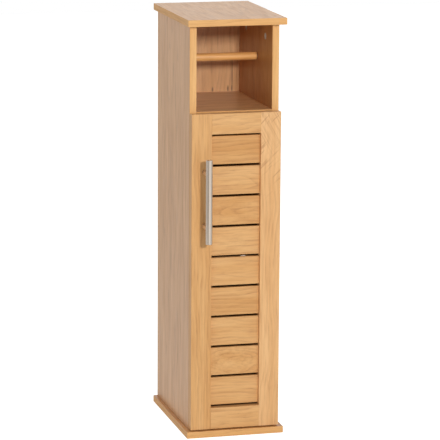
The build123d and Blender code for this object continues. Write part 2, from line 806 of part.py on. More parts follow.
def build_rail():
    """Rail, its two pins, the spring, the ring that keeps the sprung pin in, and the sockets."""
    write("roll_rail", roll_rail())
    fixed_start = (-rail_end - rail_pin_reach, rail_y, rail_z)
    fixed = rod(fixed_start, (1, 0, 0), rail_pin_radius, rail_pin_reach + rail_pin_in_wood)
    tip = fixed.edges().filter_by(GeomType.CIRCLE).sort_by(Axis.X)[0]
    write("rail_fixed_pin", chamfer(tip, rail_pin_arris))
    shoulder_x = rail_end - end_ring_length - pin_shoulder_length
    shoulder_radius = spring_bore_radius - pin_shoulder_fit
    shoulder = rod((shoulder_x, rail_y, rail_z), (1, 0, 0), shoulder_radius, pin_shoulder_length)
    stem_length = pin_shoulder_length + end_ring_length + rail_pin_reach
    stem = rod((shoulder_x, rail_y, rail_z), (1, 0, 0), rail_pin_radius, stem_length)
    stem = chamfer(stem.edges().filter_by(GeomType.CIRCLE).sort_by(Axis.X)[-1], rail_pin_arris)
    tail = rod((shoulder_x - pin_tail_length, rail_y, rail_z), (1, 0, 0), pin_tail_radius, pin_tail_length)
    write("rail_sprung_pin", shoulder + stem + tail)
    ring_start = (rail_end - end_ring_length, rail_y, rail_z)
    ring = rod(ring_start, (1, 0, 0), spring_bore_radius, end_ring_length)
    ring -= rod(ring_start, (1, 0, 0), rail_pin_radius + rail_pin_fit, end_ring_length)
    write("rail_end_ring", ring)
    write("rail_spring", coil_spring(spring_back, shoulder_x))
    write("rail_socket_left", socket(LEFT))
    write("rail_socket_right", socket(RIGHT))


build_carcass()
build_hinges()
build_catch()
build_door()
build_handle()
build_rail()
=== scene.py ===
# %% [markdown]
# # A toilet paper stand in oak-effect boards
# This lesson dresses a finished CAD model of a narrow bathroom stand. On the real object, printed boards
# make the carcass, a slatted oak door closes the cupboard, and a wooden rail carries a roll in the open
# bay above it. The CAD model already holds the sizes and the joints, so Blender only adds what the eye
# wants: grain, sheen, the tooling of small metal parts, a camera and light.

import math

import bmesh
import bpy
import numpy as np
from mathutils import Matrix, Vector


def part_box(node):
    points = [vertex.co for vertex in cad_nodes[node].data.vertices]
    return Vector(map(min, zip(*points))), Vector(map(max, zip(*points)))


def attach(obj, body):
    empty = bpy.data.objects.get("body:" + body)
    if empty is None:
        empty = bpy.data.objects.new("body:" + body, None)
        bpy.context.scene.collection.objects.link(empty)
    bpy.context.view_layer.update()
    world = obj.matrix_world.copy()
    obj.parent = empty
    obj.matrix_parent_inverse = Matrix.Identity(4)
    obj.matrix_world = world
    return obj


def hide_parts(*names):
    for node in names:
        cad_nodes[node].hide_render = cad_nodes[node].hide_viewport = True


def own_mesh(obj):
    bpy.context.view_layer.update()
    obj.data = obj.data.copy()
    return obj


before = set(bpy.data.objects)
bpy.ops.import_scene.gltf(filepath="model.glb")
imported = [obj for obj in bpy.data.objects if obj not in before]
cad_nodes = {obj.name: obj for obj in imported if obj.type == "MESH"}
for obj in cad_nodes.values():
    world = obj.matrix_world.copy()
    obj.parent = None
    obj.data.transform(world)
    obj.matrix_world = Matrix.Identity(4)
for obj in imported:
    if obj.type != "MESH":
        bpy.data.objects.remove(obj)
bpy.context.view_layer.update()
MM = 0.001

# %% [markdown]
# ## The camera
# The photograph was taken from far away with a long lens: upright edges stay nearly parallel, and the top
# shows only as a thin slope. Eleven and a half degrees above the horizon and fifteen to the left give
# that view. The place and the lens were found by laying the model's corners over the same corners in the
# photograph.

# %% Camera
camera_place = Vector((-1.18547, -4.47839, 1.31057))
look_azimuth, look_elevation, camera_roll = (math.radians(a) for a in (14.873, 11.492, 0.336))

forward = Vector(
    (
        math.sin(look_azimuth) * math.cos(look_elevation),
        math.cos(look_azimuth) * math.cos(look_elevation),
        -math.sin(look_elevation),
    )
)
level = forward.cross(Vector((0, 0, 1))).normalized()
down = forward.cross(level)
camera_x = math.cos(camera_roll) * level - math.sin(camera_roll) * down
camera_y = -(math.sin(camera_roll) * level + math.cos(camera_roll) * down)

camera_data = bpy.data.cameras.new("photo_camera")
camera_data.lens = 213.61
camera_data.sensor_width = 36.0
camera_data.clip_end = 60.0
camera = bpy.data.objects.new("photo_camera", camera_data)
camera_turn = Matrix((camera_x, camera_y, -forward)).transposed().to_4x4()
camera.matrix_world = Matrix.Translation(camera_place) @ camera_turn
bpy.context.scene.collection.objects.link(camera)
bpy.context.scene.camera = camera
bpy.context.scene.view_settings.view_transform = "Standard"
print(f"camera {camera_place.length:.2f} m from the base, lens {camera_data.lens} mm")

# %% [markdown]
# ## Two helpers for materials
# A shader works in linear light, while colours are picked in sRGB, as a screen shows them. One function
# turns a hex colour into linear values, and one adds a node with its settings and links, so that each
# material below reads as a list of steps.


# %% Helpers for materials
def linear(code):
    """Linear colour of a hex sRGB colour."""
    channels = [int(code[i : i + 2], 16) / 255 for i in (1, 3, 5)]
    return tuple(c / 12.92 if c <= 0.04045 else ((c + 0.055) / 1.055) ** 2.4 for c in channels) + (1.0,)


def add(tree, kind, inputs=(), **settings):
    """Adds one node: settings are its properties, and each input takes a value or a socket to link."""
    node = tree.nodes.new(kind)
    for name, value in settings.items():
        setattr(node, name, value)
    for name, value in dict(inputs).items():
        if isinstance(value, bpy.types.NodeSocket):
            tree.links.new(value, node.inputs[name])
        else:
            node.inputs[name].default_value = value
    return node


def start_material(name):
    """An empty material, its node tree and its Principled shader, joined to the output."""
    material = bpy.data.materials.new(name)
    material.use_nodes = True
    tree = material.node_tree
    tree.nodes.clear()
    shader = add(tree, "ShaderNodeBsdfPrincipled")
    add(tree, "ShaderNodeOutputMaterial", {"Surface": shader.outputs["BSDF"]})
    return material, tree, shader


# %% [markdown]
# ## Oak, as a slice through a tree
# Grain isn't a drawing on a board. It is what a saw shows of the yearly rings. So the pattern here lives
# in an imaginary log, with its heart along Z: distance from the heart gives the ring, slow noise makes
# the trunk uneven, and long thin noise makes the pores. Each board stores where it was cut from that log,
# and the same rules then give straight lines on one board and nested arches on the next, with end grain
# where the saw crossed the rings. Real oak has rings 2 to 4 mm wide and pores about 0.3 mm wide. Here the
# pores are 0.7 mm and the rings 6 mm wide, because a pixel of the render covers 1.8 mm: finer lines would
# only turn grey or shimmer.

# %% The log's pattern
ring_width = 6.0  # mm
pore_width, pore_length = 0.7, 16.0
streak_width, streak_length = 3.2, 60.0
band_width, band_length = 17.0, 210.0
ray_width, ray_length, ray_slope = 2.0, 60.0, 30.0
slash_width, slash_length, slash_slope = 2.6, 34.0, -46.0

oak_log = bpy.data.node_groups.new("oak_log", "ShaderNodeTree")
oak_log.interface.new_socket("Place in log", in_out="INPUT", socket_type="NodeSocketVector")
for output in ("Ring", "Pore", "Streak", "Band", "Ray", "Slash"):
    oak_log.interface.new_socket(output, in_out="OUTPUT", socket_type="NodeSocketFloat")

entry = add(oak_log, "NodeGroupInput")
place = add(oak_log, "ShaderNodeVectorMath", {0: entry.outputs[0], 3: 1 / MM}, operation="SCALE")


def log_noise(width, length, detail=2.0, roughness=0.5, source=place):
    """Noise whose cells are that wide across the log and that long along it, in millimetres."""
    cell = add(
        oak_log,
        "ShaderNodeVectorMath",
        {0: source.outputs[0], 1: (1 / width, 1 / width, 1 / length)},
        operation="MULTIPLY",
    )
    return add(
        oak_log,
        "ShaderNodeTexNoise",
        {"Vector": cell.outputs[0], "Scale": 1.0, "Detail": detail, "Roughness": roughness},
    )


def log_math(operation, *values):
    """One step of arithmetic on the log's values."""
    return add(oak_log, "ShaderNodeMath", dict(enumerate(values)), operation=operation).outputs[0]


slow_bend = log_noise(44.0, 130.0, detail=1.0)
small_bend = log_noise(13.0, 46.0, detail=2.0)
bend = add(
    oak_log,
    "ShaderNodeVectorMath",
    {0: slow_bend.outputs["Color"], 1: (24.0, 24.0, 0.0), 2: place.outputs[0]},
    operation="MULTIPLY_ADD",
)
bend = add(
    oak_log,
    "ShaderNodeVectorMath",
    {0: small_bend.outputs["Color"], 1: (5.0, 5.0, 0.0), 2: bend.outputs[0]},
    operation="MULTIPLY_ADD",
)
flat = add(oak_log, "ShaderNodeVectorMath", {0: bend.outputs[0], 1: (1.0, 1.0, 0.0)}, operation="MULTIPLY")
radius = add(oak_log, "ShaderNodeVectorMath", {0: flat.outputs[0]}, operation="LENGTH")
years = log_math("DIVIDE", radius.outputs["Value"], ring_width)
season = log_math("FRACT", years)
spring_wood = add(oak_log, "ShaderNodeValToRGB", {0: season})
spring_wood.color_ramp.interpolation = "EASE"
for stop, shade in ((0.0, 0.25), (0.1, 1.0), (0.3, 0.55), (0.62, 0.1), (1.0, 0.0)):
    stops = spring_wood.color_ramp.elements
    element = stops[0] if stop == 0.0 else stops[-1] if stop == 1.0 else stops.new(stop)
    element.color = (shade, shade, shade, 1.0)
strength = log_noise(12.0, 60.0, detail=1.5)
strength = add(oak_log, "ShaderNodeMapRange", {0: strength.outputs[0], 1: 0.4, 2: 0.64, 3: 0.08, 4: 1.0})
ring = log_math("MULTIPLY", spring_wood.outputs[0], strength.outputs[0])

pore_noise = log_noise(pore_width, pore_length, detail=1.0)
pore = add(oak_log, "ShaderNodeMapRange", {0: pore_noise.outputs[0], 1: 0.56, 2: 0.68, 3: 0.0, 4: 1.0})
pore = log_math("MULTIPLY", pore.outputs[0], log_math("MULTIPLY_ADD", ring, 0.75, 0.25))
streak = log_noise(streak_width, streak_length, detail=3.0, roughness=0.6)
band = log_noise(band_width, band_length, detail=2.0)



def sloping_lines(width, length, slope, low, high):
    """Lines that cross the grain at a slope in degrees; the limits say how many of them show."""
    turned_place = add(
        oak_log,
        "ShaderNodeVectorRotate",
        {0: place.outputs[0], 3: math.radians(slope)},
        rotation_type="Y_AXIS",
    )
    noise = log_noise(width, length, detail=1.0, source=turned_place)
    return add(oak_log, "ShaderNodeMapRange", {0: noise.outputs[0], 1: low, 2: high, 3: 0.0, 4: 1.0})


ray = sloping_lines(ray_width, ray_length, ray_slope, 0.5, 0.68)
slash = sloping_lines(slash_width, slash_length, slash_slope, 0.62, 0.7)

add(
    oak_log,
    "NodeGroupOutput",
    {
        "Ring": ring,
        "Pore": pore,
        "Streak": streak.outputs[0],
        "Band": band.outputs[0],
        "Ray": ray.outputs[0],
        "Slash": slash.outputs[0],
    },
)
print(f"the log has {len(oak_log.nodes)} nodes, rings {ring_width} mm wide")

# %% [markdown]
# ## Three finishes that show the log
# The door is veneered with real oak and lacquered: warm, with clear rings and a low sheen. The carcass is
# chipboard under a printed melamine foil: the same figure, but paler and weaker, because a printer made
# it, and smoother, so that it catches more light at a low angle. Its cut edges carry a thin oak-coloured
# band that is more matt and stronger in colour. All three read the place in the log from the piece's own
# attribute.


# %% Oak finishes
# Four small dark spots low on the back wall of the open bay, one of them a tall thin line.
back_wall_dark_spots = ((58, 3315, 1.7, 5), (87, 3316, 1.9, 6), (94.5, 3316, 1.4, 7), (95, 3340, 1.1, 30))


def oak(name, pale, warm, dark, pore_colour, figure, roughness, specular, pore_depth, rays=None, dark_spots=()):
    """Oak of one finish. Figure is how strongly rings and streaks show; pore_depth is in millimetres.

    Rays are the shares of rays and slashes and the height in the log, in millimetres, above which they show.
    Dark spots are places across and along the log with half widths, all in millimetres.
    """
    material, tree, shader = start_material(name)
    where = add(tree, "ShaderNodeAttribute", attribute_name="log")
    log = add(tree, "ShaderNodeGroup", {}, node_tree=oak_log)
    tree.links.new(where.outputs["Vector"], log.inputs[0])
    spread = add(tree, "ShaderNodeMapRange", {0: log.outputs["Band"], 1: 0.3, 2: 0.7})
    colour = add(
        tree,
        "ShaderNodeMix",
        {0: spread.outputs[0], 6: linear(pale), 7: linear(warm)},
        data_type="RGBA",
    )
    marks = [
        (log.outputs["Streak"], 0.44, 0.7, 0.7 * figure, dark),
        (log.outputs["Ring"], 0.0, 1.0, figure, dark),
        (log.outputs["Pore"], 0.0, 1.0, 0.6 * figure, pore_colour),
    ]
    if rays:
        ray_share, slash_share, height = rays
        along = add(tree, "ShaderNodeSeparateXYZ", {0: where.outputs["Vector"]}).outputs[2]
        for label, share, start in (("Ray", ray_share, height), ("Slash", slash_share, height - 70)):
            upper = add(tree, "ShaderNodeMapRange", {0: along, 1: start * MM, 2: (start + 60) * MM})
            shown = add(
                tree, "ShaderNodeMath", {0: upper.outputs[0], 1: log.outputs[label]}, operation="MULTIPLY"
            )
            marks.append((shown.outputs[0], 0.0, 1.0, share, dark))
    for x, z, wide, tall in dark_spots:
        offset = add(
            tree,
            "ShaderNodeVectorMath",
            {0: where.outputs["Vector"], 1: (-x * MM, 0, -z * MM)},
            operation="ADD",
        )
        shape = add(
            tree,
            "ShaderNodeVectorMath",
            {0: offset.outputs[0], 1: (1 / (wide * MM), 0, 1 / (tall * MM))},
            operation="MULTIPLY",
        )
        reach = add(tree, "ShaderNodeVectorMath", {0: shape.outputs[0]}, operation="LENGTH")
        marks.append((reach.outputs["Value"], 1.3, 0.4, 0.75, pore_colour))
    for source, low, high, share, shade in marks:
        amount = add(tree, "ShaderNodeMapRange", {0: source, 1: low, 2: high, 3: 0.0, 4: share})
        colour = add(
            tree,
            "ShaderNodeMix",
            {0: amount.outputs[0], 6: colour.outputs[2], 7: linear(shade)},
            data_type="RGBA",
        )
    # The tone darkens the colour towards a deep warm brown: on the door's boards it is each board's own tone,
    # on the base and the right side panel it is painted shade.
    tone_and_shade = add(tree, "ShaderNodeAttribute", attribute_name="tone_and_shade")
    colour = add(
        tree,
        "ShaderNodeMix",
        {0: tone_and_shade.outputs["Fac"], 6: colour.outputs[2], 7: (0.8, 0.66, 0.42, 1.0)},
        data_type="RGBA",
        blend_type="MULTIPLY",
    )
    tree.links.new(colour.outputs[2], shader.inputs["Base Color"])
    sheen = add(
        tree,
        "ShaderNodeMapRange",
        {0: log.outputs["Streak"], 1: 0.3, 2: 0.7, 3: roughness - 0.05, 4: roughness + 0.07},
    )
    tree.links.new(sheen.outputs[0], shader.inputs["Roughness"])
    shader.inputs["Specular IOR Level"].default_value = specular
    relief = add(
        tree,
        "ShaderNodeMath",
        {0: log.outputs["Pore"], 1: -1.0, 2: 1.0},
        operation="MULTIPLY_ADD",
    )
    bump = add(
        tree,
        "ShaderNodeBump",
        {"Height": relief.outputs[0], "Strength": 0.6, "Distance": pore_depth * MM},
    )
    tree.links.new(bump.outputs[0], shader.inputs["Normal"])
    return material


oak_veneer = oak(
    "oak_veneer_lacquered", "#E4B57B", "#D8A365", "#A87040", "#7E5128",
    figure=0.4, roughness=0.42, specular=0.4,
    pore_depth=0.05,
)
oak_rayed = oak(
    "oak_veneer_with_rays", "#EBBD86", "#E0AC72", "#AB7444", "#7E5128",
    figure=0.38, roughness=0.42, specular=0.4,
    pore_depth=0.05, rays=(0.35, 0.5, 4990),
)
oak_foil = oak(
    "oak_print_melamine_foil", "#E2B17E", "#CF9B66", "#9C6C46", "#80583A",
    figure=0.3, roughness=0.34, specular=0.55,
    pore_depth=0.02,
)
oak_foil_with_dark_spots = oak(
    "oak_print_with_dark_spots", "#E2B17E", "#CF9B66", "#93603C", "#4E301A",
    figure=0.3, roughness=0.34, specular=0.55,
    pore_depth=0.02, dark_spots=back_wall_dark_spots,
)
oak_band = oak(
    "oak_edge_band", "#E7B577", "#DBA464", "#AE7A44", "#8A5C30", figure=0.35, roughness=0.5, specular=0.3,
    pore_depth=0.02,
)
oak_turned = oak(
    "oak_turned_waxed", "#F5BF7B", "#EDAD62", "#B97C44", "#8A5C30", figure=0.4, roughness=0.4, specular=0.5,
    pore_depth=0.04,
)
print("oak finishes:", ", ".join(m.name for m in (oak_veneer, oak_rayed, oak_foil, oak_band, oak_turned)))

# %% [markdown]
# ## What a cut board shows inside
# Chipboard is wood chips a few millimetres across, glued and pressed, and it shows where a fitting is
# bored into a board. Hardboard is fine brown fibre, pressed smooth on one side, and it is the bare back
# of the back panel. Beech dowels are pale, with short brown flecks. Each is a noise at the size of its
# chips, fibres or flecks.


# %% Board cores and beech
def core(name, colours, grain, stretch, roughness, relief):
    """A material of chips, fibres or flecks: colours from low to high noise, grain size in millimetres."""
    material, tree, shader = start_material(name)
    where = add(tree, "ShaderNodeTexCoord")
    cells = add(
        tree,
        "ShaderNodeMapping",
        {"Vector": where.outputs["Object"], "Scale": [1 / (grain * s * MM) for s in stretch]},
    )
    chips = add(
        tree,
        "ShaderNodeTexNoise",
        {"Vector": cells.outputs[0], "Scale": 1.0, "Detail": 4.0, "Roughness": 0.65},
    )
    ramp = add(tree, "ShaderNodeValToRGB", {0: chips.outputs[0]})
    ramp.color_ramp.elements[0].position, ramp.color_ramp.elements[1].position = 0.36, 0.66
    ramp.color_ramp.elements[0].color, ramp.color_ramp.elements[1].color = map(linear, colours)
    bump = add(
        tree,
        "ShaderNodeBump",
        {"Height": chips.outputs[0], "Strength": 0.5, "Distance": relief * MM},
    )
    tree.links.new(ramp.outputs[0], shader.inputs["Base Color"])
    tree.links.new(bump.outputs[0], shader.inputs["Normal"])
    shader.inputs["Roughness"].default_value = roughness
    shader.inputs["Specular IOR Level"].default_value = 0.25
    return material


chipboard = core("chipboard_bored", ("#8F6B45", "#C9A677"), 1.6, (1, 1, 1), 0.9, 0.3)
hardboard = core("hardboard_pressed", ("#5E4028", "#7F5C3C"), 0.8, (1, 1, 2.5), 0.7, 0.1)
beech = core("beech_turned", ("#C99E6E", "#E3C196"), 1.2, (4, 1, 1), 0.55, 0.05)
print("cores:", chipboard.name, hardboard.name, beech.name)

# %% [markdown]
# ## Metals and plastics
# The handle is brushed nickel: its bar was drawn, which left faint streaks along it, and its posts carry
# fine lines round them from an abrasive belt. The bar's streaks are also painted reflection: a dark brown
# streak is laid along it where it reflects a dark line. Hinges and screws are plated steel, brighter and
# smoother, with a faint cloudiness. Cams and bolts are cast zinc, duller and finely pitted, and the cam discs
# have a pale, matt passivated skin. Sockets, pins and the catch are moulded plastic with a spark-eroded
# grain. A metal keeps its default IOR: its look comes from colour, roughness and the marks that its making
# left, and on the bar from a painted reflection as well.


# %% Metals and plastics
def metal(name, pale, dark, roughness, mark, stretch, depth, shift=(0, 0, 0)):
    """A bare metal with marks of a size in millimetres, stretched along each axis and shifted."""
    material, tree, shader = start_material(name)
    where = add(tree, "ShaderNodeTexCoord")
    cells = add(
        tree,
        "ShaderNodeMapping",
        {
            "Vector": where.outputs["Object"],
            "Location": shift,
            "Scale": [1 / (mark * s * MM) for s in stretch],
        },
    )
    marks = add(tree, "ShaderNodeTexNoise", {"Vector": cells.outputs[0], "Scale": 1.0, "Detail": 3.0})
    colour = add(
        tree,
        "ShaderNodeMix",
        {0: marks.outputs[0], 6: linear(dark), 7: linear(pale)},
        data_type="RGBA",
    )
    sheen = add(
        tree,
        "ShaderNodeMapRange",
        {0: marks.outputs[0], 1: 0.3, 2: 0.7, 3: roughness - 0.06, 4: roughness + 0.06},
    )
    bump = add(
        tree,
        "ShaderNodeBump",
        {"Height": marks.outputs[0], "Strength": 0.4, "Distance": depth * MM},
    )
    tree.links.new(colour.outputs[2], shader.inputs["Base Color"])
    tree.links.new(sheen.outputs[0], shader.inputs["Roughness"])
    tree.links.new(bump.outputs[0], shader.inputs["Normal"])
    shader.inputs["Metallic"].default_value = 1.0
    return material


def moulded(name, colour_code, roughness, grain):
    """A moulded plastic with the fine grain of its spark-eroded tool, in millimetres."""
    material, tree, shader = start_material(name)
    where = add(tree, "ShaderNodeTexCoord")
    cells = add(
        tree,
        "ShaderNodeVectorMath",
        {0: where.outputs["Object"], 3: 1 / (grain * MM)},
        operation="SCALE",
    )
    pits = add(tree, "ShaderNodeTexNoise", {"Vector": cells.outputs[0], "Scale": 1.0, "Detail": 2.0})
    cloud = add(tree, "ShaderNodeTexNoise", {"Vector": where.outputs["Object"], "Scale": 90.0, "Detail": 1.0})
    tint = add(
        tree,
        "ShaderNodeMix",
        {0: cloud.outputs[0], 6: linear(colour_code), 7: tuple(0.88 * c for c in linear(colour_code))},
        data_type="RGBA",
    )
    sheen = add(
        tree,
        "ShaderNodeMapRange",
        {0: pits.outputs[0], 1: 0.3, 2: 0.7, 3: roughness - 0.05, 4: roughness + 0.05},
    )
    bump = add(tree, "ShaderNodeBump", {"Height": pits.outputs[0], "Strength": 0.3, "Distance": 0.02 * MM})
    tree.links.new(tint.outputs[2], shader.inputs["Base Color"])
    tree.links.new(sheen.outputs[0], shader.inputs["Roughness"])
    tree.links.new(bump.outputs[0], shader.inputs["Normal"])
    shader.inputs["IOR"].default_value = 1.49
    return material


# The bar's long streaks are partly drawn marks and partly painted reflection: the shift lays a dark brown
# streak along the bar where it reflects a dark line.
nickel_streaks_and_painted_reflection = metal(
    "nickel_drawn_with_painted_reflection", "#FBEEDF", "#5F4C3A", 0.25, 3.0, (1, 1, 60), 0.01, shift=(3.8, 1.5, 0)
)
brushed_nickel = metal("nickel_brushed", "#EADFD0", "#C0AE9A", 0.3, 0.4, (12, 12, 1), 0.01)
nickel_plate = metal("nickel_plated_steel", "#D8D5CF", "#C2BEB7", 0.22, 3.0, (1, 1, 1), 0.01)
cast_zinc = metal("zinc_die_cast", "#DAD8D4", "#B9B7B3", 0.42, 0.6, (1, 1, 1), 0.03)
passivated_zinc = metal("zinc_passivated_matt", "#F2F0EC", "#CFCDC8", 0.6, 0.6, (1, 1, 1), 0.03)
passivated_zinc.node_tree.nodes["Principled BSDF"].inputs["Metallic"].default_value = 0.3
spring_steel = metal("spring_steel_drawn", "#A9A7A2", "#8D8B87", 0.3, 0.5, (1, 1, 1), 0.01)
magnet_black = metal("magnet_plated", "#8F8F92", "#77777A", 0.35, 0.8, (1, 1, 1), 0.02)
white_plastic = moulded("polypropylene_moulded", "#EDEAE2", 0.42, 0.25)
print("metals and plastics:", brushed_nickel.name, nickel_plate.name, cast_zinc.name, white_plastic.name)

# %% [markdown]
# ## Boards cut from the log
# A board is a copy of its CAD mesh, with its small softened edges and its bores, so the looks can't drift
# from the construction. What is added is where each face lies in the log. That could be a UV map, but a
# UV map has no depth: with three coordinates the rings run over an edge and on into the end grain, as in
# solid wood. The values are stored per face corner, because an edge band is its own strip with its own
# grain along it.


# %% Helpers for boards
def new_piece(name, mesh):
    """A new object for a mesh whose place is in its vertices."""
    piece = bpy.data.objects.new(name, mesh)
    bpy.context.scene.collection.objects.link(piece)
    return piece


def cad_copy(node, name):
    """A merged copy of a CAD node's mesh: flat faces stay flat, rounded ones are smooth."""
    shape = bmesh.new()
    shape.from_mesh(cad_nodes[node].data)
    bmesh.ops.remove_doubles(shape, verts=shape.verts, dist=1e-6)
    for face in shape.faces:
        face.smooth = max(abs(c) for c in face.normal) < 0.9995
    for edge in shape.edges:
        edge.smooth = edge.calc_face_angle(0.0) < math.radians(32)
    mesh = bpy.data.meshes.new(name)
    shape.to_mesh(mesh)
    shape.free()
    return new_piece(name, mesh)


def cut(across, depth, along, tilt=0.0, skew=0.0):
    """How a board lies in the log: its middle in millimetres, and its tilt and skew in degrees."""
    turn = Matrix.Rotation(math.radians(tilt), 3, "X") @ Matrix.Rotation(math.radians(skew), 3, "Y")
    return np.array(turn), np.array((across, depth, along)) * MM


def store_log(mesh, corners, values):
    """Writes the place in the log of some face corners."""
    layer = mesh.attributes.get("log") or mesh.attributes.new("log", "FLOAT_VECTOR", "CORNER")
    stored = np.zeros(len(mesh.loops) * 3, np.float32)
    layer.data.foreach_get("vector", stored)
    stored = stored.reshape(-1, 3)
    stored[corners] = values
    layer.data.foreach_set("vector", stored.ravel())


def store_tone_and_shade(mesh, corners, tone_and_shade):
    """Writes how far some face corners are darkened towards deep and warm, from 0 to 1: a board's own tone,
    and on two carcass boards painted shade.
    """
    layer = mesh.attributes.get("tone_and_shade") or mesh.attributes.new("tone_and_shade", "FLOAT", "CORNER")
    stored = np.zeros(len(mesh.loops), np.float32)
    layer.data.foreach_get("value", stored)
    stored[corners] = tone_and_shade
    layer.data.foreach_set("value", stored)


def corner_arrays(mesh):
    """Each face corner's point, its face's normal and its face's middle, as arrays."""
    points = np.array([v.co for v in mesh.vertices])
    vertex = np.zeros(len(mesh.loops), int)
    mesh.loops.foreach_get("vertex_index", vertex)
    counts = [p.loop_total for p in mesh.polygons]
    normals = np.repeat([p.normal for p in mesh.polygons], counts, axis=0)
    middles = np.repeat([p.center for p in mesh.polygons], counts, axis=0)
    return points[vertex], normals, middles


def lay_in_log(points, middle, axes, placed):
    """Places in the log of points on a board whose across, through and along axes are given."""
    turn, origin = placed
    return (points - middle)[:, axes] @ turn.T + origin


# %% [markdown]
# ## The carcass
# Six printed boards and a thin back. On the real boards the print runs along the longer side, the
# softened edges belong to the edge band, and raw chipboard shows inside the bores. Faces are sorted by
# where they point: the two wide faces get foil, the rim gets band, and what lies deeper than the rim is
# core.

# %% Carcass boards
RIM = 0.9 * MM  # deeper than the softened edges
X, Y, Z = 0, 1, 2


def foil_board(node, along, placed, tone_and_shade=0.0, foil=oak_foil):
    """A carcass board in foil, edge band and core, riding on the cabinet. The foil with dark spots has a bare
    back.
    """
    piece = cad_copy(node, f"{node}_foil")
    mesh = piece.data
    low, high = (np.array(corner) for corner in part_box(node))
    middle, size = (low + high) / 2, high - low
    through = int(np.argmin(size))
    across = 3 - along - through
    points, normals, middles = corner_arrays(mesh)
    store_log(mesh, slice(None), lay_in_log(points, middle, [across, through, along], placed))
    inside = np.all((middles > low + RIM) & (middles < high - RIM), axis=1)
    facing = np.argmax(np.abs(normals), axis=1)
    for side in {along, across}:
        rim = (facing == side) & ~inside
        length = max({X, Y, Z} - {side}, key=lambda axis: size[axis])
        width = 3 - side - length
        band_place = cut(150 + 20 * side, 12, 900 * middle[length] + 200 * side)
        store_log(mesh, rim, lay_in_log(points, middle, [width, side, length], band_place)[rim])
    # The wide faces take the tone: on the base and the right side panel it is painted shade.
    store_tone_and_shade(mesh, facing == through, tone_and_shade)
    for finish in (foil, oak_band, chipboard, hardboard):
        mesh.materials.append(finish)
    start = 0
    for polygon in mesh.polygons:
        if inside[start]:
            polygon.material_index = 2
        elif facing[start] != through:
            polygon.material_index = 1
        elif foil == oak_foil_with_dark_spots and polygon.normal[through] > 0:
            polygon.material_index = 3
        start += polygon.loop_total
    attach(piece, "cabinet")
    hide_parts(node)
    return piece


carcass = [
    foil_board("top_panel", Y, cut(-18, 96, 300, tilt=3)),
    # The base's tone is painted shade: it darkens the base's top as a contact shadow at the foot of the
    # carcass.
    foil_board("base_panel", Y, cut(35, 84, 900, tilt=2), tone_and_shade=0.9),
    foil_board("left_side_panel", Z, cut(-30, 120, 100, tilt=1.2)),
    # The right side panel's tone is painted shade: it darkens and warms the wall of the open bay, which lies
    # in shade.
    foil_board("right_side_panel", Z, cut(-6, 40, 1700, tilt=5), tone_and_shade=1.0),
    foil_board("mid_shelf", X, cut(60, 70, 2300, tilt=2)),
    foil_board("inner_shelf", X, cut(-40, 88, 2700, tilt=2)),
    foil_board("back_panel", Z, cut(40, 66, 3100, tilt=1), foil=oak_foil_with_dark_spots),
]
print("carcass boards:", ", ".join(piece.name for piece in carcass))

# %% [markdown]
# ## The door's frame
# Two upright stiles and two rails, each faced with oak along its length. Straight grain comes from a
# board cut far to the side of the heart. The right stile of this door is nearly quartered, and its upper
# end shows oak's rays: pale and dark slashes across the grain.


# %% Stiles and rails
def oak_board(piece, node_box, along, placed, finish, tone_and_shade):
    """Lays a solid oak piece in the log and gives it one finish and tone."""
    low, high = (np.array(corner) for corner in node_box)
    axes = [X + Z - along, Y, along]
    points, _, _ = corner_arrays(piece.data)
    store_log(piece.data, slice(None), lay_in_log(points, (low + high) / 2, axes, placed))
    store_tone_and_shade(piece.data, slice(None), tone_and_shade)
    piece.data.materials.clear()
    piece.data.materials.append(finish)


door_frame = []
for node, along, placed, finish, tone_and_shade in (
    ("door_left_stile", Z, cut(86, 34, 4000, skew=0.6), oak_veneer, 0.2),
    ("door_right_stile", Z, cut(72, 30, 4800, skew=-0.8), oak_rayed, 0.0),
    ("door_top_rail", X, cut(30, 48, 5600, tilt=5), oak_veneer, 0.1),
    ("door_bottom_rail", X, cut(48, 40, 6000, tilt=4), oak_veneer, 0.0),
):
    piece = cad_copy(node, f"{node}_oak")
    oak_board(piece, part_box(node), along, placed, finish, tone_and_shade)
    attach(piece, "door")
    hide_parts(node)
    door_frame.append(piece)
print("door frame:", ", ".join(piece.name for piece in door_frame))

# %% [markdown]
# ## Nine slats from one rule
# The slats are one board shape, repeated up the door at an even pitch. Geometry Nodes suit that: one slat
# goes in, a line of points carries the copies, and the number and pitch stay inputs that can be changed.
# A loop in Python would do as well, but here the rule can be read off the tree. Each copy is numbered,
# and the number then picks its own cut from the log, because no two slats of a real door come from the
# same place.


# %% A tree that repeats a piece along a line
def start_tree(name, sockets):
    """A geometry node tree with named inputs, and its input node."""
    tree = bpy.data.node_groups.new(name, "GeometryNodeTree")
    tree.interface.new_socket("Geometry", in_out="INPUT", socket_type="NodeSocketGeometry")
    tree.interface.new_socket("Geometry", in_out="OUTPUT", socket_type="NodeSocketGeometry")
    for label, kind in sockets:
        tree.interface.new_socket(label, in_out="INPUT", socket_type=kind)
    return tree, add(tree, "NodeGroupInput").outputs


def bake(name, mesh, tree, values):
    """Runs a tree on a mesh with values for its named inputs, and keeps the result as a plain mesh."""
    carrier = new_piece(f"{name}_carrier", mesh)
    modifier = carrier.modifiers.new(tree.name, "NODES")
    modifier.node_group = tree
    keys = {s.name: s.identifier for s in tree.interface.items_tree if s.in_out == "INPUT"}
    for label, value in values.items():
        modifier[keys[label]] = value
    ready = carrier.evaluated_get(bpy.context.evaluated_depsgraph_get())
    baked = bpy.data.meshes.new_from_object(ready)
    carrier.modifiers.remove(modifier)
    bpy.data.objects.remove(carrier)
    baked.name = name
    return new_piece(name, baked)


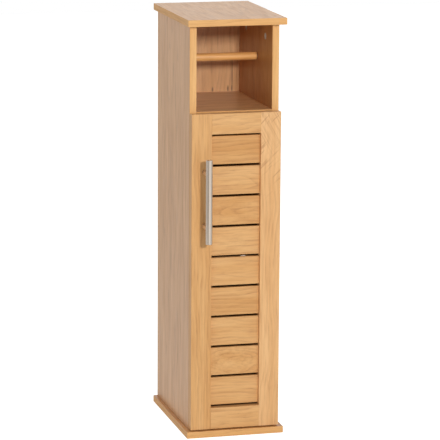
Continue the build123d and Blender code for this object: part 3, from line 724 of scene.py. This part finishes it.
slat_tree, given = start_tree(
    "slats_up_the_door",
    [("Slats", "NodeSocketInt"), ("Pitch", "NodeSocketFloat"), ("Finish", "NodeSocketMaterial")],
)
drop = add(slat_tree, "ShaderNodeMath", {0: given["Pitch"], 1: -1.0}, operation="MULTIPLY")
step = add(slat_tree, "ShaderNodeCombineXYZ", {"Z": drop.outputs[0]})
line = add(
    slat_tree,
    "GeometryNodeMeshLine",
    {"Count": given["Slats"], "Offset": step.outputs[0]},
)
copies = add(
    slat_tree,
    "GeometryNodeInstanceOnPoints",
    {"Points": line.outputs[0], "Instance": given["Geometry"]},
)
numbered = add(
    slat_tree,
    "GeometryNodeStoreNamedAttribute",
    {
        "Geometry": copies.outputs[0],
        "Name": "slat",
        "Value": add(slat_tree, "GeometryNodeInputIndex").outputs[0],
    },
    data_type="INT",
    domain="INSTANCE",
)
solid = add(slat_tree, "GeometryNodeRealizeInstances", {0: numbered.outputs[0]})
finished = add(
    slat_tree, "GeometryNodeSetMaterial", {"Geometry": solid.outputs[0], "Material": given["Finish"]}
)
add(slat_tree, "NodeGroupOutput", {0: finished.outputs[0]})
print(f"slat tree: {len(slat_tree.nodes)} nodes")

# %% Slats
slat_boxes = [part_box(f"door_slat_{number}") for number in range(1, 10)]
slat_pitch = (slat_boxes[0][0] - slat_boxes[1][0]).z
first_slat = cad_copy("door_slat_1", "first_slat")
slats = bake(
    "door_slats_oak",
    first_slat.data,
    slat_tree,
    {"Slats": len(slat_boxes), "Pitch": slat_pitch, "Finish": oak_veneer},
)
bpy.data.objects.remove(first_slat)

slat_cuts = [
    (cut(34, 30, 7000, tilt=3), 0.55),
    (cut(-6, -4, 7300, tilt=-3), 0.2),
    (cut(-9, -5, 7600, tilt=9), 0.35),
    (cut(-24, -3, 7900, tilt=-5), 0.15),
    (cut(-12, 2, 8200, tilt=2), 0.15),
    (cut(54, 20, 8500, tilt=2), 0.25),
    (cut(-10, -7, 8800, tilt=4), 0.2),
    (cut(-12, -10, 9100, tilt=-22), 0.2),
    (cut(60, 26, 9400, tilt=2), 0.05),
]
number_of = np.zeros(len(slats.data.vertices), int)
slats.data.attributes["slat"].data.foreach_get("value", number_of)
vertex_of = np.zeros(len(slats.data.loops), int)
slats.data.loops.foreach_get("vertex_index", vertex_of)
slat_points, _, _ = corner_arrays(slats.data)
for number, (slat_box, (placed, tone_and_shade)) in enumerate(zip(slat_boxes, slat_cuts)):
    mine = number_of[vertex_of] == number
    middle = (np.array(slat_box[0]) + np.array(slat_box[1])) / 2
    store_log(slats.data, mine, lay_in_log(slat_points[mine], middle, [Z, Y, X], placed))
    store_tone_and_shade(slats.data, mine, tone_and_shade)
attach(slats, "door")
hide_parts(*(f"door_slat_{number}" for number in range(1, 10)))
print(f"{len(slat_boxes)} slats, pitch {slat_pitch / MM:.2f} mm, {len(slats.data.polygons)} faces")

# %% [markdown]
# ## Turned parts
# The handle's bar and posts and the roll rail are round because they were turned or drawn. A lathe has
# the same logic as code: a profile, spun about an axis. Here only the bar is spun, and its profile carries
# what a plain cylinder lacks, the small chamfer where the bar was cut off. The posts and the rail, with its
# softened ends, are copies of their CAD meshes.


# %% A lathe
def turned(name, profile, start, direction, segments=64):
    """Spins (distance along, radius) points in millimetres about an axis, and closes both ends."""
    shape = bmesh.new()
    rings = []
    for along, reach in profile:
        spokes = range(segments) if reach else range(1)
        angles = [2 * math.pi * spoke / segments for spoke in spokes]
        rings.append([shape.verts.new((reach * math.cos(a), reach * math.sin(a), along)) for a in angles])
    for one, two in zip(rings, rings[1:]):
        for spoke in range(segments):
            after = (spoke + 1) % segments
            corners = [one[spoke % len(one)], one[after % len(one)]]
            corners += [two[after % len(two)], two[spoke % len(two)]]
            shape.faces.new(list(dict.fromkeys(corners)))
    bmesh.ops.recalc_face_normals(shape, faces=shape.faces)
    for face in shape.faces:
        face.smooth = True
    for edge in shape.edges:
        edge.smooth = edge.calc_face_angle(0.0) < math.radians(24)
    toward = Vector((0, 0, 1)).rotation_difference(Vector(direction)).to_matrix().to_4x4()
    shape.transform(Matrix.Translation(start) @ toward @ Matrix.Scale(MM, 4))
    mesh = bpy.data.meshes.new(name)
    shape.to_mesh(mesh)
    shape.free()
    return new_piece(name, mesh)


# %% Handle
bar_low, bar_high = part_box("handle_bar")
bar_length = (bar_high.z - bar_low.z) / MM
bar_radius = (bar_high.x - bar_low.x) / 2 / MM
bar_axis = (bar_low + bar_high) / 2
bar = turned(
    "handle_bar_brushed",
    [
        (0, 0),
        (0, bar_radius - 0.9),
        (0.25, bar_radius - 0.35),
        (0.8, bar_radius),
        (bar_length / 2, bar_radius),
        (bar_length - 0.8, bar_radius),
        (bar_length - 0.25, bar_radius - 0.35),
        (bar_length, bar_radius - 0.9),
        (bar_length, 0),
    ],
    (bar_axis.x, bar_axis.y, bar_low.z),
    (0, 0, 1),
)
bar.data.materials.append(nickel_streaks_and_painted_reflection)
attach(bar, "door")
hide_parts("handle_bar")
for end in ("lower", "upper"):
    node = f"handle_post_{end}"
    piece = cad_copy(node, f"{node}_brushed")
    piece.data.materials.clear()
    piece.data.materials.append(brushed_nickel)
    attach(piece, "door")
    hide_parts(node)
print(f"handle bar {bar_length:.0f} mm long, {2 * bar_radius:.0f} mm thick")

# %% Roll rail
rail = cad_copy("roll_rail", "roll_rail_turned")
rail_low, rail_high = (np.array(corner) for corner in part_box("roll_rail"))
rail_points, _, _ = corner_arrays(rail.data)
rail_middle = (rail_low + rail_high) / 2
rail_in_log = lay_in_log(rail_points, rail_middle, [Z, Y, X], cut(62, 18, 10000))
store_log(rail.data, slice(None), rail_in_log)
rail.data.materials.clear()
rail.data.materials.append(oak_turned)
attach(rail, "rail")
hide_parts("roll_rail")
print(f"roll rail {(rail_high - rail_low)[0] / MM:.1f} mm long")

# %% [markdown]
# ## The rail's spring
# A compression spring is a wire on a helix. A second tree draws it from four sizes, and its wire is
# round, not a tube with flats.

# %% Spring
spring_tree, given = start_tree(
    "wire_on_a_helix",
    [
        ("Turns", "NodeSocketFloat"),
        ("Coil radius", "NodeSocketFloat"),
        ("Wire radius", "NodeSocketFloat"),
        ("Length", "NodeSocketFloat"),
        ("Finish", "NodeSocketMaterial"),
    ],
)
helix = add(
    spring_tree,
    "GeometryNodeCurveSpiral",
    {
        "Resolution": 32,
        "Rotations": given["Turns"],
        "Start Radius": given["Coil radius"],
        "End Radius": given["Coil radius"],
        "Height": given["Length"],
    },
)
wire = add(
    spring_tree,
    "GeometryNodeCurvePrimitiveCircle",
    {"Resolution": 14, "Radius": given["Wire radius"]},
    mode="RADIUS",
)
drawn = add(
    spring_tree,
    "GeometryNodeCurveToMesh",
    {"Curve": helix.outputs[0], "Profile Curve": wire.outputs[0], "Fill Caps": True},
)
laid = add(
    spring_tree, "GeometryNodeTransform", {"Geometry": drawn.outputs[0], "Rotation": (0, math.pi / 2, 0)}
)
coated = add(
    spring_tree, "GeometryNodeSetMaterial", {"Geometry": laid.outputs[0], "Material": given["Finish"]}
)
add(spring_tree, "NodeGroupOutput", {0: coated.outputs[0]})

spring_low, spring_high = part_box("rail_spring")
spring_middle = (spring_low + spring_high) / 2
spring_length = spring_high.x - spring_low.x
spring_wire = 0.35 * MM
spring = bake(
    "rail_spring_wire",
    bpy.data.meshes.new("no_mesh"),
    spring_tree,
    {
        "Turns": 8.0,
        "Coil radius": (spring_high.z - spring_low.z) / 2 - spring_wire,
        "Wire radius": spring_wire,
        "Length": spring_length - 2 * spring_wire,
        "Finish": spring_steel,
    },
)
spring.data.transform(Matrix.Translation((spring_low.x + spring_wire, spring_middle.y, spring_middle.z)))
spring.data.update()
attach(spring, "rail")
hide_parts("rail_spring")
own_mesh(spring)
print(f"spring: {len(spring.data.polygons)} faces, {spring_length / MM:.1f} mm long")

# %% [markdown]
# ## Cross-head screws
# The CAD screws have a plain slot. Screws of this kind usually have a cross, so a third tree makes a
# screw from its three sizes, cuts the cross out of its head and sets one at each point it is given. The
# points come from the CAD node's own solids: the middle of each head, with the way into the wood. The
# cross is two bars cut one after the other, to different depths: with floors at one depth the cut left
# open edges. The shank radii are the CAD's, in millimetres.


# %% Screws
def islands(node):
    """Low and high corners of each separate solid in a CAD node."""
    shape = bmesh.new()
    shape.from_mesh(cad_nodes[node].data)
    bmesh.ops.remove_doubles(shape, verts=shape.verts, dist=1e-6)
    waiting = set(shape.verts)
    boxes = []
    while waiting:
        queue = [waiting.pop()]
        found = []
        while queue:
            vertex = queue.pop()
            found.append(vertex.co.copy())
            beside = {edge.other_vert(vertex) for edge in vertex.link_edges} & waiting
            waiting -= beside
            queue.extend(beside)
        boxes.append([Vector([pick(c[axis] for c in found) for axis in (X, Y, Z)]) for pick in (min, max)])
    shape.free()
    return sorted(boxes, key=lambda corners: tuple(corners[0]))


TIP_SHARE, POINT_SHARE = 1.6, 0.2  # tip length and end radius over the shank's radius
CROSS_SHARE, CROSS_WIDTH_SHARE = 1.2, 0.24  # over the head's radius
FIRST_CUT_SHARE, SECOND_CUT_SHARE = 1.4, 1.28  # over the head's depth, half of each above the head
screw_tree, given = start_tree(
    "cross_head_screws",
    [
        ("Head radius", "NodeSocketFloat"),
        ("Shank radius", "NodeSocketFloat"),
        ("Length", "NodeSocketFloat"),
        ("Finish", "NodeSocketMaterial"),
    ],
)


def screw_math(operation, *values):
    """One step of arithmetic on the screw's sizes."""
    return add(screw_tree, "ShaderNodeMath", dict(enumerate(values)), operation=operation).outputs[0]


def raised(shape, height):
    """A shape moved along the screw's axis."""
    offset = add(screw_tree, "ShaderNodeCombineXYZ", {"Z": height})
    place = {"Geometry": shape.outputs[0], "Translation": offset.outputs[0]}
    moved = add(screw_tree, "GeometryNodeTransform", place)
    return moved.outputs[0]


head_depth = screw_math("SUBTRACT", given["Head radius"], given["Shank radius"])
head = add(
    screw_tree,
    "GeometryNodeMeshCone",
    {
        "Vertices": 32,
        "Radius Top": given["Shank radius"],
        "Radius Bottom": given["Head radius"],
        "Depth": head_depth,
    },
).outputs[0]
cross_length = screw_math("MULTIPLY", given["Head radius"], CROSS_SHARE)
cross_width = screw_math("MULTIPLY", given["Head radius"], CROSS_WIDTH_SHARE)
for sides, depth in (
    ({"X": cross_length, "Y": cross_width}, FIRST_CUT_SHARE),
    ({"X": cross_width, "Y": cross_length}, SECOND_CUT_SHARE),
):
    size = add(screw_tree, "ShaderNodeCombineXYZ", {**sides, "Z": screw_math("MULTIPLY", head_depth, depth)})
    bar_of_cross = add(screw_tree, "GeometryNodeMeshCube", {"Size": size.outputs[0]})
    cut_head = add(
        screw_tree,
        "GeometryNodeMeshBoolean",
        {"Mesh 1": head, "Mesh 2": bar_of_cross.outputs[0]},
        operation="DIFFERENCE",
    )
    head = cut_head.outputs[0]
shank_length = screw_math("SUBTRACT", given["Length"], head_depth)
shank = add(
    screw_tree,
    "GeometryNodeMeshCylinder",
    {"Vertices": 24, "Radius": given["Shank radius"], "Depth": shank_length},
)
tip = add(
    screw_tree,
    "GeometryNodeMeshCone",
    {
        "Vertices": 24,
        "Radius Top": screw_math("MULTIPLY", given["Shank radius"], POINT_SHARE),
        "Radius Bottom": given["Shank radius"],
        "Depth": screw_math("MULTIPLY", given["Shank radius"], TIP_SHARE),
    },
)
whole = add(screw_tree, "GeometryNodeJoinGeometry")
shank_middle = screw_math("MULTIPLY_ADD", shank_length, 0.5, head_depth)
for shape in (raised(tip, given["Length"]), raised(shank, shank_middle), head):
    screw_tree.links.new(shape, whole.inputs[0])
into = add(screw_tree, "GeometryNodeInputNamedAttribute", {"Name": "into"}, data_type="FLOAT_VECTOR")
aimed = add(screw_tree, "FunctionNodeAlignRotationToVector", {"Vector": into.outputs[0]}, axis="Z")
placed_screws = add(
    screw_tree,
    "GeometryNodeInstanceOnPoints",
    {"Points": given["Geometry"], "Instance": whole.outputs[0], "Rotation": aimed.outputs[0]},
)
real_screws = add(screw_tree, "GeometryNodeRealizeInstances", {0: placed_screws.outputs[0]})
plated = add(
    screw_tree, "GeometryNodeSetMaterial", {"Geometry": real_screws.outputs[0], "Material": given["Finish"]}
)
add(screw_tree, "NodeGroupOutput", {0: plated.outputs[0]})

for node, body, shank_radius, into_work in (
    ("hinge_plate_screws", "cabinet", 1.75, (1, 0, 0)),
    ("hinge_arm_screws", "cabinet", 1.5, (1, 0, 0)),
    ("hinge_cup_screws", "door", 1.4, (0, -1, 0)),
    ("catch_strike_screw", "door", 1.3, (0, -1, 0)),
):
    into_axis = X if into_work[X] else Y
    points = []
    for low, high in islands(node):
        point = (low + high) / 2
        point[into_axis] = low[into_axis] if into_work[into_axis] > 0 else high[into_axis]
        points.append(point)
    seats = bpy.data.meshes.new(f"{node}_seats")
    seats.from_pydata(points, [], [])
    direction = seats.attributes.new("into", "FLOAT_VECTOR", "POINT")
    direction.data.foreach_set("vector", np.tile(into_work, len(points)).astype(np.float32))
    screws = bake(
        f"{node}_cross",
        seats,
        screw_tree,
        {
            "Head radius": (high.z - low.z) / 2,
            "Shank radius": shank_radius * MM,
            "Length": high[into_axis] - low[into_axis] - TIP_SHARE * shank_radius * MM,
            "Finish": nickel_plate,
        },
    )
    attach(screws, body)
    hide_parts(node)
    print(f"{screws.name}: {len(points)} screws, {len(screws.data.polygons)} faces")

# %% Materials of the CAD nodes that stay
for finish, slot_name, names in (
    (beech, "beech_dowel", ("panel_dowels", "door_dowels")),
    (cast_zinc, "zinc_fittings", ("cam_bolts",)),
    (passivated_zinc, "zinc_fittings", ("cam_discs",)),
    (
        nickel_plate,
        "nickel_plate",
        (
            "shelf_pins", "lower_hinge_plate", "lower_hinge_arm", "lower_hinge_cup", "lower_hinge_pin",
            "upper_hinge_plate", "upper_hinge_arm", "upper_hinge_cup", "upper_hinge_pin", "catch_strike",
            "handle_screws",
        ),
    ),
    (magnet_black, "magnet_steel", ("catch_magnet",)),
    (
        white_plastic,
        "plastic_trim",
        (
            "catch_body", "door_bumpers", "rail_fixed_pin", "rail_sprung_pin", "rail_end_ring",
            "rail_socket_left", "rail_socket_right",
        ),
    ),
):
    for name in names:
        cad_nodes[name].data.materials.clear()
        cad_nodes[name].data.materials.append(finish)
print("CAD nodes with a finish of their own:", sum(1 for o in cad_nodes.values() if not o.hide_render))

# %% [markdown]
# ## Floor, light and background
# The photograph is a cut-out on white. A small key lamp stands in front of the door, a little above it,
# with a wide lamp overhead, a wide one at the left and soft light from all sides. The key's height shows
# in the handle's shadow on the door and in the rail's shadow on the back. The background's white comes
# from the world's colour for camera and glossy rays, so it adds only to reflections, and the floor keeps
# a faint shadow.

# %% Floor
floor_mesh = bpy.data.meshes.new("floor")
floor_mesh.from_pydata([(-6, -6, 0), (6, -6, 0), (6, 6, 0), (-6, 6, 0)], [], [(0, 1, 2, 3)])
floor = new_piece("floor", floor_mesh)
floor_finish, tree, shader = start_material("floor_pale_paint")
shader.inputs["Base Color"].default_value = linear("#EDEDEC")
shader.inputs["Roughness"].default_value = 0.7
ray = add(tree, "ShaderNodeLightPath")
mirrored = add(tree, "ShaderNodeMath", {0: ray.outputs["Is Glossy Ray"], 1: 0.2}, operation="MULTIPLY")
seen = add(
    tree,
    "ShaderNodeMath",
    {0: ray.outputs["Is Camera Ray"], 1: 0.75, 2: mirrored.outputs[0]},
    operation="MULTIPLY_ADD",
)
glow = add(tree, "ShaderNodeEmission", {"Color": (1, 1, 1, 1), "Strength": seen.outputs[0]})
together = add(tree, "ShaderNodeAddShader", {0: shader.outputs[0], 1: glow.outputs[0]})
tree.links.new(together.outputs[0], tree.nodes["Material Output"].inputs["Surface"])
floor.data.materials.append(floor_finish)

# %% World
world = bpy.data.worlds.new("studio")
bpy.context.scene.world = world
world.use_nodes = True
tree = world.node_tree
tree.nodes.clear()
ray = add(tree, "ShaderNodeLightPath")
seen = add(
    tree,
    "ShaderNodeMath",
    {0: ray.outputs["Is Camera Ray"], 1: ray.outputs["Is Glossy Ray"]},
    operation="MAXIMUM",
)
seen = add(
    tree, "ShaderNodeMath", {0: seen.outputs[0], 1: ray.outputs["Is Transmission Ray"]}, operation="MAXIMUM"
)
ambient = add(tree, "ShaderNodeBackground", {"Color": (1.0, 0.985, 0.96, 1.0), "Strength": 0.37})
backdrop = add(tree, "ShaderNodeBackground", {"Color": (1.0, 1.0, 1.0, 1.0), "Strength": 1.0})
both = add(tree, "ShaderNodeMixShader", {0: seen.outputs[0], 1: ambient.outputs[0], 2: backdrop.outputs[0]})
add(tree, "ShaderNodeOutputWorld", {"Surface": both.outputs[0]})


# %% Lamps
def softbox(name, azimuth, elevation, distance, size, watts, aim):
    """A square lamp at an azimuth right of the door's front and an elevation, both in degrees."""
    turn, rise = math.radians(azimuth), math.radians(elevation)
    back = Vector((math.sin(turn) * math.cos(rise), -math.cos(turn) * math.cos(rise), math.sin(rise)))
    data = bpy.data.lights.new(name, "AREA")
    data.energy, data.size = watts, size
    lamp = bpy.data.objects.new(name, data)
    lamp.location = Vector(aim) + back * distance
    lamp.rotation_mode = "QUATERNION"
    lamp.rotation_quaternion = back.to_track_quat("Z", "Y")
    bpy.context.scene.collection.objects.link(lamp)
    return lamp


lamps = [
    softbox("key", 1.5, 18, 4.0, 0.35, 82, (0, -0.1, 0.4)),
    softbox("overhead", 0, 88, 2.6, 1.6, 14, (0, 0.1, 0.7)),
    softbox("left_fill", -100, 14, 3.0, 1.4, 12, (-0.1, 0, 0.4)),
]
print("lamps:", ", ".join(lamp.name for lamp in lamps))
